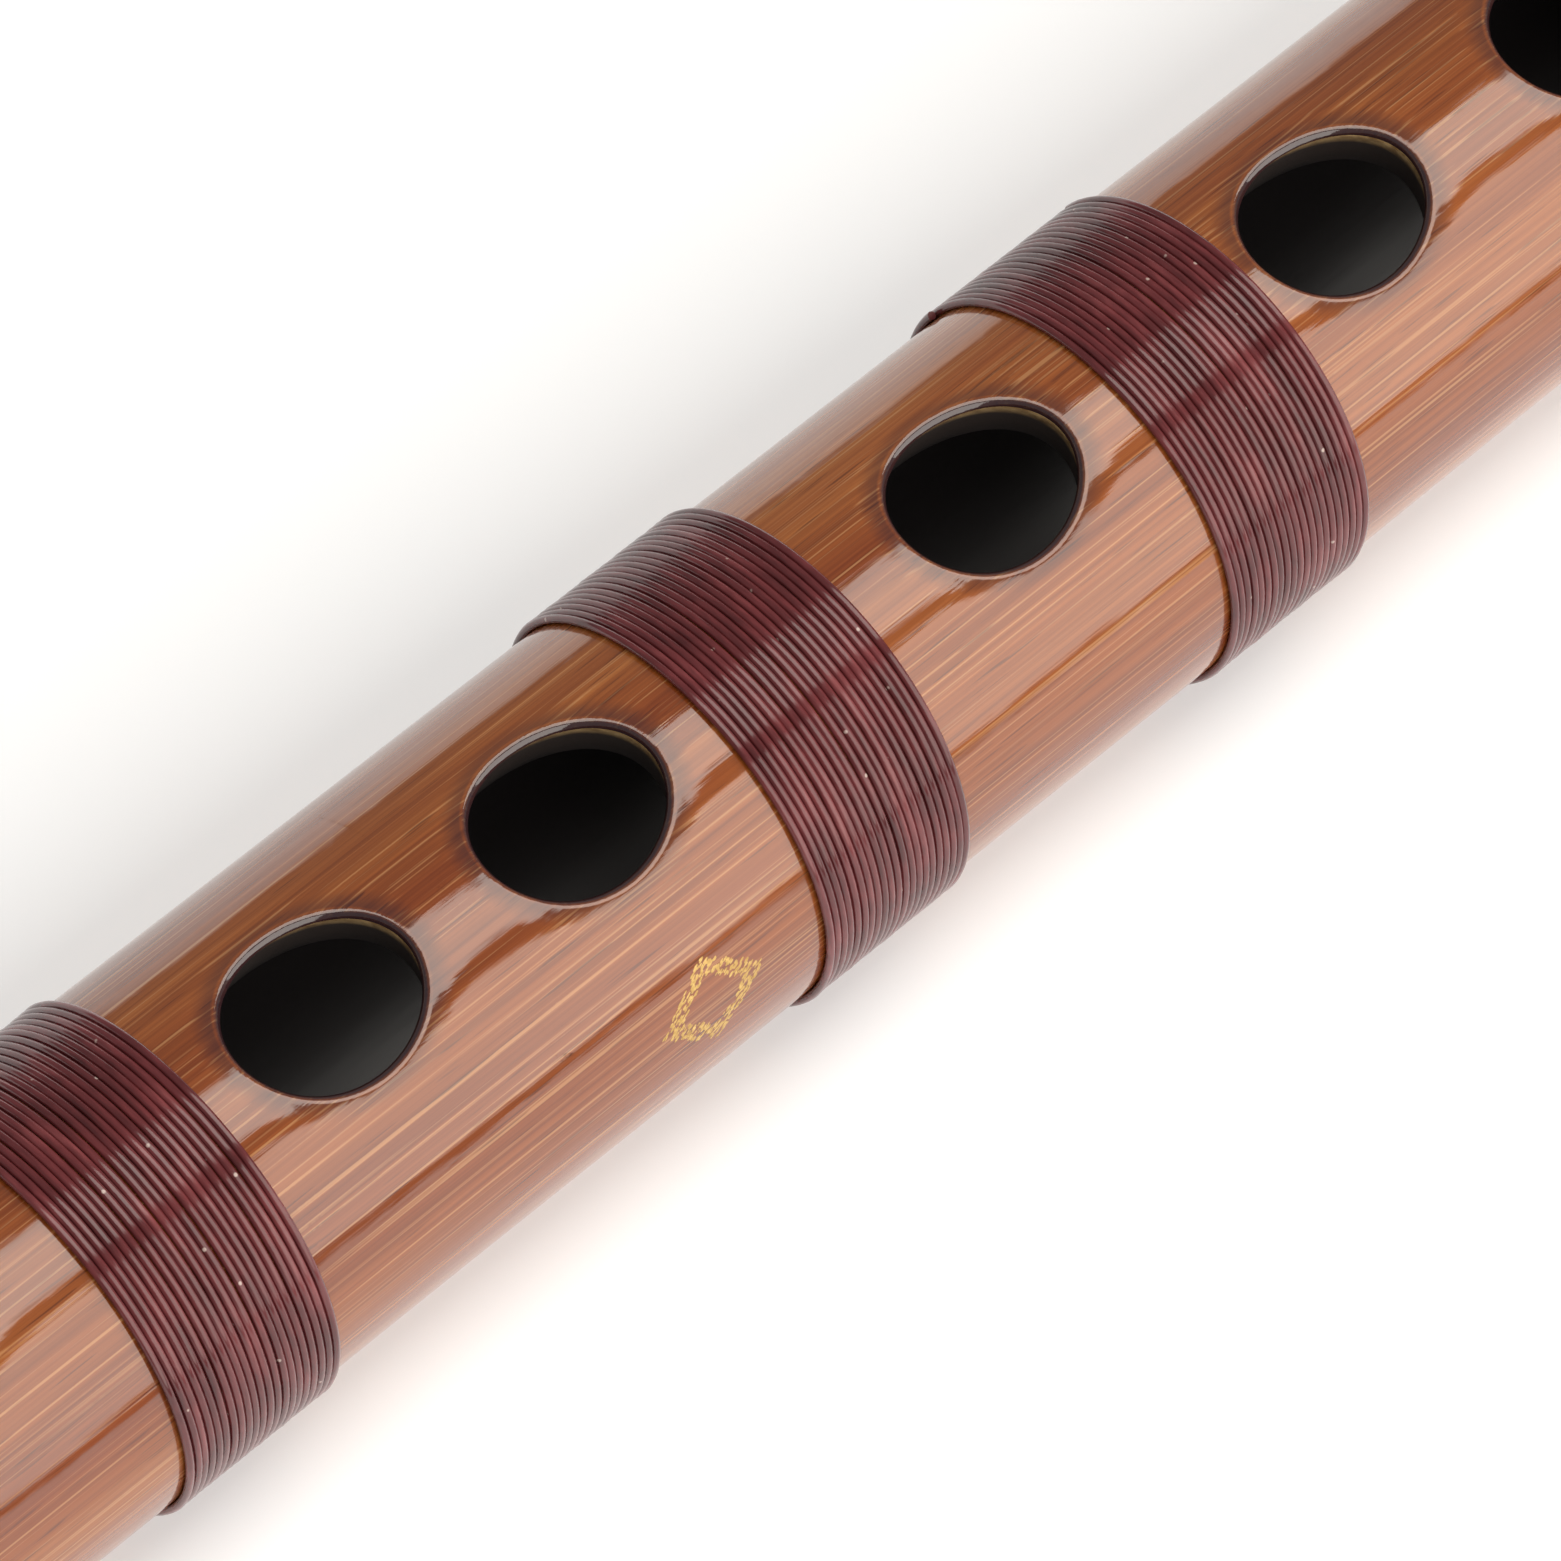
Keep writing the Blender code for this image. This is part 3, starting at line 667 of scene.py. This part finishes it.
def makeBinding(node, body, seed):
    # A thread wound as a helix: its middle's station grows with the turns and its radius is the
    # band's, each with a small seeded wander; a circle is carried along it in the axial plane
    low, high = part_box(node)
    rng = np.random.default_rng(seed)
    thick = bindings["thread"]
    sides = bindings["sides"]
    count = bindings["turns"] * bindings["pointsPerTurn"] + 1
    turns = np.linspace(0.0, bindings["turns"], count)
    stray = np.zeros(count)
    lift = np.zeros(count)
    for pace in bindings["paces"]:
        phases = rng.uniform(0.0, math.tau, 2)
        stray += np.sin(math.tau * pace * turns + phases[0])
        lift += np.abs(np.sin(math.tau * pace * 0.5 * turns + phases[1]))
    ends = np.clip(np.minimum(turns, bindings["turns"] - turns), 0.0, 1.0)
    start = low[0] - jointX + thick / 2
    travel = high[0] - low[0] - thick
    station = start + travel * turns / bindings["turns"] + bindings["stray"] * stray * ends
    fade = bindings["flareTurns"]
    tail = np.exp(-turns / fade) + np.exp((turns - bindings["turns"]) / fade)
    sink = bindings["lift"] * (lift - bindings["liftCeiling"]) * ends
    radius = bindings["outer"] - thick / 2 + sink + bindings["flare"] * tail
    angle = math.tau * turns + rng.uniform(0.0, math.tau)
    side = np.arange(sides) * math.tau / sides
    s = station[:, None] + thick / 2 * np.cos(side)[None, :]
    r = radius[:, None] + thick / 2 * np.sin(side)[None, :]
    points = place(s, r, np.broadcast_to(angle[:, None], s.shape)).reshape(-1, 3)
    last = (count - 1) * sides
    caps = [list(range(sides)), list(range(last, last + sides))]
    makePiece("wound_" + node, points, [gridQuads(count, sides)], body, node, thread, fans=caps)


for seed, node in enumerate(footBindings, 20):
    makeBinding(node, "foot_section", seed)
for seed, node in enumerate(headBindings, 40):
    makeBinding(node, "head_section", seed)
print("bindings wound")

turned = {"segments": 160, "arcSteps": 5, "arcLimit": 0.45}  # the limit is a share of a side's length


def roundedProfile(corners, radius):
    # A closed outline of (station, radius) corners, each corner replaced by a short quadratic curve
    corners = np.array(corners)
    toBefore = np.roll(corners, 1, axis=0) - corners
    toAfter = np.roll(corners, -1, axis=0) - corners
    lengthBefore = np.linalg.norm(toBefore, axis=1, keepdims=True)
    lengthAfter = np.linalg.norm(toAfter, axis=1, keepdims=True)
    start = corners + toBefore / lengthBefore * np.minimum(radius, lengthBefore * turned["arcLimit"])
    end = corners + toAfter / lengthAfter * np.minimum(radius, lengthAfter * turned["arcLimit"])
    t = np.linspace(0.0, 1.0, turned["arcSteps"])[None, :, None]
    curve = (1 - t) ** 2 * start[:, None] + 2 * t * (1 - t) * corners[:, None] + t ** 2 * end[:, None]
    return curve.reshape(-1, 2)


def makeTurned(name, node, body, material, corners, rounding, segments=turned["segments"]):
    # A closed outline carried round the axis: each outline point's station and radius at every angle
    outline = roundedProfile(corners, rounding)
    angles = np.arange(segments) * math.tau / segments
    points = place(outline[:, :1], outline[:, 1:], angles[None, :]).reshape(-1, 3)
    closed = np.concatenate([np.arange(len(outline)), [0]])
    row = closed[:-1, None] * segments
    nextRow = closed[1:, None] * segments
    j = np.arange(segments)
    k = (j + 1) % segments
    quads = np.stack(np.broadcast_arrays(row + j, row + k, nextRow + k, nextRow + j), -1)
    makePiece(name, points, [quads], body, node, material)


endRing = {
    "outer": 0.0109,
    "inner": 0.0100,
    "bore": 0.0070,
    "length": 0.008,
    "lip": 0.0015,              # thickness of the face that covers the tube's end
    "groove": 0.0060,           # from the end
    "grooveHalf": 0.0004,
    "grooveDepth": 0.00018,
    "bead": 0.0007,             # rounding
}


def makeEndRing(name, node, body, endX, direction):
    end = endX - jointX
    start = end - direction * endRing["length"]
    lip = end - direction * endRing["lip"]
    groove = end - direction * endRing["groove"]
    grooveSide = direction * endRing["grooveHalf"]
    corners = [
        (start, endRing["outer"]),
        (groove - grooveSide, endRing["outer"]),
        (groove, endRing["outer"] - endRing["grooveDepth"]),
        (groove + grooveSide, endRing["outer"]),
        (end, endRing["outer"]),
        (end, endRing["bore"]),
        (lip, endRing["bore"]),
        (lip, endRing["inner"]),
        (start, endRing["inner"]),
    ]
    makeTurned(name, node, body, bone, corners, endRing["bead"])


makeEndRing("footEndRing", "foot_end_ring", "foot_section", footEndX, -1)
makeEndRing("headEndRing", "head_end_ring", "head_section", headEndX, 1)

tenon = {"outer": 0.0076, "bore": 0.0070, "out": 0.020, "in": 0.018, "rounding": 0.0002}
socket = {"outer": 0.0083, "bore": 0.0077, "length": 0.021, "rounding": 0.0001}
ferrule = {
    "outer": 0.0108,
    "inner": 0.0102,
    "length": 0.010,
    "lip": 0.0008,              # thickness of the face that covers the tube's end
    "lipGap": 0.0003,           # from that face to the sleeve inside it
    "grooves": (0.0022, 0.0078),
    "grooveHalf": 0.0003,
    "grooveDepth": 0.00016,
    "rounding": 0.00018,
}


def makeFerrule(name, node, body, direction, sleeveRadius):
    lipRadius = sleeveRadius + ferrule["lipGap"]
    face = direction * (jointGap / 2)
    lip = face + direction * ferrule["lip"]
    far = direction * ferrule["length"]
    grooveSide = direction * ferrule["grooveHalf"]
    corners = [(face, ferrule["outer"])]
    for at in ferrule["grooves"]:
        middle = direction * at
        corners.append((middle - grooveSide, ferrule["outer"]))
        corners.append((middle, ferrule["outer"] - ferrule["grooveDepth"]))
        corners.append((middle + grooveSide, ferrule["outer"]))
    corners += [
        (far, ferrule["outer"]),
        (far, ferrule["inner"]),
        (lip, ferrule["inner"]),
        (lip, lipRadius),
        (face, lipRadius),
    ]
    makeTurned(name, node, body, brass, corners, ferrule["rounding"])


def makeSleeve(name, node, body, far, near, sleeve):
    # A plain tube of brass from its far station to its near one
    corners = [(far, sleeve["outer"]), (far, sleeve["bore"]), (near, sleeve["bore"]), (near, sleeve["outer"])]
    makeTurned(name, node, body, brass, corners, sleeve["rounding"])


makeFerrule("footFerrule", "foot_ferrule", "foot_section", -1, tenon["outer"])
makeFerrule("headFerrule", "head_ferrule", "head_section", 1, socket["outer"])
makeSleeve("tenonSleeve", "tenon_sleeve", "foot_section", tenon["out"], -tenon["in"], tenon)
makeSleeve("socketSleeve", "socket_sleeve", "head_section", socket["length"], jointGap / 2, socket)

stopper = {"radius": 0.0067, "pinhole": 0.00002, "rounding": 0.0006, "segments": 96}
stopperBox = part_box("stopper")
stopperLow = stopperBox[0][0] - jointX
stopperHigh = stopperBox[1][0] - jointX
stopperCorners = [
    (stopperLow, stopper["pinhole"]),
    (stopperLow, stopper["radius"]),
    (stopperHigh, stopper["radius"]),
    (stopperHigh, stopper["pinhole"]),
]
makeTurned("corkStopper", "stopper", "head_section", cork, stopperCorners, stopper["rounding"],
           stopper["segments"])
print("rings, joint and stopper made")

membrane = {
    "rings": 60,
    "columns": 128,
    "clearance": 0.00006,       # from the tube to the film's underside
    "thickness": 0.00005,
    "creaseHeight": 0.00006,
    "creasePaces": (6200.0, 1900.0),    # radians in a metre along the tube
    "creaseBend": (1.5, 9.0),   # how far the creases bend, and how often round the tube
    "sag": 0.00012,             # into the hole
    "edge": (1.15, 0.3),        # of the hole's size: where creases and sag end, and how softly
    "weld": 4e-6,
}


def makeMembrane():
    # An oval sheet on the tube: a polar grid that runs out to the film's edge on top and back in
    # underneath, with creases as products of two sine waves along the tube that fade outside the hole
    low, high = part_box("membrane")
    centre = (low[0] + high[0]) / 2 - jointX
    length = (high[0] - low[0]) / 2
    width = (high[1] - low[1]) / 2
    rings = membrane["rings"]
    columns = membrane["columns"]
    spread = np.concatenate([np.linspace(0.0, 1.0, rings), np.linspace(1.0, 0.0, rings)])[:, None]
    theta = (np.arange(columns) * math.tau / columns)[None, :]
    s = length * spread * np.cos(theta)
    v = np.arcsin(width * spread * np.sin(theta) / tube["radius"])
    top = (np.arange(2 * rings) < rings)[:, None]
    holeLength, holeWidth = membraneHole["half"]
    distance = np.sqrt((s / holeLength) ** 2 + (v * tube["radius"] / holeWidth) ** 2)
    reach, softness = membrane["edge"]
    drum = np.clip((reach - distance) / softness, 0.0, 1.0)
    fast, slow = membrane["creasePaces"]
    bend, often = membrane["creaseBend"]
    crease = np.sin(s * fast + bend * np.sin(v * often)) * np.sin(s * slow) * drum
    radius = tube["radius"] + membrane["clearance"] + np.where(top, membrane["thickness"], 0.0)
    radius = radius + membrane["creaseHeight"] * crease - membrane["sag"] * drum
    points = place(s + centre, radius, v).reshape(-1, 3)
    makePiece("reedMembrane", points, [gridQuads(2 * rings, columns)], "head_section", "membrane",
              film, drum.ravel(), membrane["weld"])


makeMembrane()

keyMark = {
    "station": -0.0959,
    "angle": -66.0,
    "half": (0.0032, 0.0027),   # half length along the tube and half width round it
    "stroke": 0.00105,
    "dots": 330,
    "spacing": 0.3,             # how far a dot strays from its even place
    "dot": 0.00006,             # radius
    "dotSizes": (0.6, 1.25),
    "sides": 8,
    "stretch": 2.6,
    "slant": 32.0,
    "rim": 0.000002,            # height of a dot's rim and of its top above the lacquer
    "top": 0.000012,
    "seed": 3,
}


def makeKeyMark():
    # A plain lozenge of gold specks: points spread along the four sides of a diamond with a seeded
    # spread across the stroke, each a low dome drawn out at a slant into a short dash
    rng = np.random.default_rng(keyMark["seed"])
    count = keyMark["dots"]
    sides = keyMark["sides"]
    spacing = keyMark["spacing"]
    t = (np.arange(count) + rng.uniform(-spacing, spacing, count)) / count * 4.0
    side = (np.floor(t) % 4).astype(int)
    share = t - np.floor(t)
    cornerS = np.array([1.0, 0.0, -1.0, 0.0, 1.0])
    cornerV = np.array([0.0, 1.0, 0.0, -1.0, 0.0])
    shrink = 1.0 - rng.uniform(0.0, 1.0, count) * keyMark["stroke"] / keyMark["half"][1]
    s = (cornerS[side] * (1 - share) + cornerS[side + 1] * share) * shrink * keyMark["half"][0]
    v = (cornerV[side] * (1 - share) + cornerV[side + 1] * share) * shrink * keyMark["half"][1]
    s = s + keyMark["station"]
    v = v / tube["radius"] + math.radians(keyMark["angle"])
    size = keyMark["dot"] * rng.uniform(*keyMark["dotSizes"], count)[:, None]
    theta = np.arange(sides) * math.tau / sides
    ground = tube["radius"] + strayFromRound(s, v, footSeed)
    slant = math.radians(keyMark["slant"])
    along = size * keyMark["stretch"] * np.cos(theta)
    across = size * np.sin(theta)
    ringS = s[:, None] + along * math.cos(slant) - across * math.sin(slant)
    ringV = v[:, None] + (along * math.sin(slant) + across * math.cos(slant)) / tube["radius"]
    ring = place(ringS, ground[:, None] + keyMark["rim"], ringV)
    top = place(s, ground + keyMark["top"], v)[:, None]
    under = place(s, ground - keyMark["top"], v)[:, None]
    points = np.concatenate([ring, top, under], axis=1).reshape(-1, 3)
    start = (np.arange(count) * (sides + 2))[:, None]
    j = np.arange(sides)[None, :]
    k = (j + 1) % sides
    caps = np.stack(np.broadcast_arrays(start + j, start + k, start + sides), -1).reshape(-1, 3)
    floors = np.stack(np.broadcast_arrays(start + k, start + j, start + sides + 1), -1).reshape(-1, 3)
    makePiece("goldLozenge", points, [np.zeros((0, 4), int)], "foot_section", None, goldLeaf,
              fans=np.concatenate([caps, floors]).tolist())


makeKeyMark()
print("membrane and mark made")

# Floor, lights and camera
studio = {
    "floor": (0.95, 0.97, 1.0),
    "floorHalf": 6.0,
    "floorRoughness": 0.9,
    "sky": (0.95, 0.97, 1.0),
    "skyStrength": 0.22,
    "lampColor": (1.0, 0.96, 0.89),
    "radiance": 3.0,
    "lampLength": 2.2,
    "headward": 24.0,           # degrees that the lamps' middles are moved to the head
    "overhead": {"angle": -2.5, "width": 0.555, "share": 1.0},
    "front": {"angle": 54.0, "width": 1.20, "share": 0.78},
}


def makeFloor():
    half = studio["floorHalf"]
    corners = [(-half, -half, 0), (half, -half, 0), (half, half, 0), (-half, half, 0)]
    mesh = bpy.data.meshes.new("paleFloor")
    mesh.from_pydata(corners, [], [(0, 1, 2, 3)])
    floor = bpy.data.objects.new("paleFloor", mesh)
    bpy.context.scene.collection.objects.link(floor)
    material, tree, shader, position = newMaterial("palePaper", {"Roughness": studio["floorRoughness"]})
    feed(tree, shader.inputs["Base Color"], studio["floor"])
    mesh.materials.append(material)


def makeSoftbox(name, lamp):
    # A rectangle of light a metre from the flute that faces it: angle from straight up towards -Y, with
    # its middle moved to the head because that is where the camera's reflections point
    turn = math.radians(lamp["angle"])
    towards = Vector((math.tan(math.radians(studio["headward"])), -math.sin(turn), math.cos(turn)))
    light = bpy.data.lights.new(name, "AREA")
    light.shape = "RECTANGLE"
    light.size = studio["lampLength"]
    light.size_y = lamp["width"]
    light.energy = studio["radiance"] * lamp["share"] * math.pi * lamp["width"] * studio["lampLength"]
    light.color = studio["lampColor"]
    softbox = bpy.data.objects.new(name, light)
    middle = Vector((0.0, 0.0, axisZ)) + towards
    backwards = Vector((0.0, -math.sin(turn), math.cos(turn)))
    along = Vector((1.0, 0.0, 0.0))
    axes = Matrix((along, backwards.cross(along), backwards)).transposed()
    softbox.matrix_world = Matrix.Translation(middle) @ axes.to_4x4()
    bpy.context.scene.collection.objects.link(softbox)


def makeSky():
    world = bpy.data.worlds.new("softRoom")
    world.use_nodes = True
    background = world.node_tree.nodes["Background"]
    background.inputs["Color"].default_value = (*studio["sky"], 1.0)
    background.inputs["Strength"].default_value = studio["skyStrength"]
    bpy.context.scene.world = world
    bpy.context.scene.view_settings.view_transform = "Standard"


makeFloor()
makeSoftbox("overheadSoftbox", studio["overhead"])
makeSoftbox("frontSoftbox", studio["front"])
makeSky()

# The photograph's camera: where it looks, counted from the joint and the axis, and from which side
view = {
    "target": (-0.08366, -0.00207, -0.0003),
    "azimuth": 57.48,
    "elevation": 61.33,
    "roll": 15.62,
    "distance": 0.459,
    "lens": 227.5,
    "sensor": 36.0,
    "clipStart": 0.01,
}


def makeCamera():
    data = bpy.data.cameras.new("photoCamera")
    data.lens = view["lens"]
    data.sensor_width = view["sensor"]
    data.clip_start = view["clipStart"]
    azimuth, elevation, roll = (math.radians(view[key]) for key in ("azimuth", "elevation", "roll"))
    back = Vector((-math.cos(elevation) * math.sin(azimuth), -math.cos(elevation) * math.cos(azimuth),
                   math.sin(elevation)))
    level = Vector((math.cos(azimuth), -math.sin(azimuth), 0.0))
    rise = back.cross(level)
    right = level * math.cos(roll) + rise * math.sin(roll)
    axes = Matrix((right, back.cross(right), back)).transposed()
    target = Vector(view["target"]) + Vector((jointX, 0.0, axisZ))
    camera = bpy.data.objects.new("photoCamera", data)
    camera.matrix_world = Matrix.Translation(target + back * view["distance"]) @ axes.to_4x4()
    bpy.context.scene.collection.objects.link(camera)
    bpy.context.scene.camera = camera


makeCamera()
print("studio set")
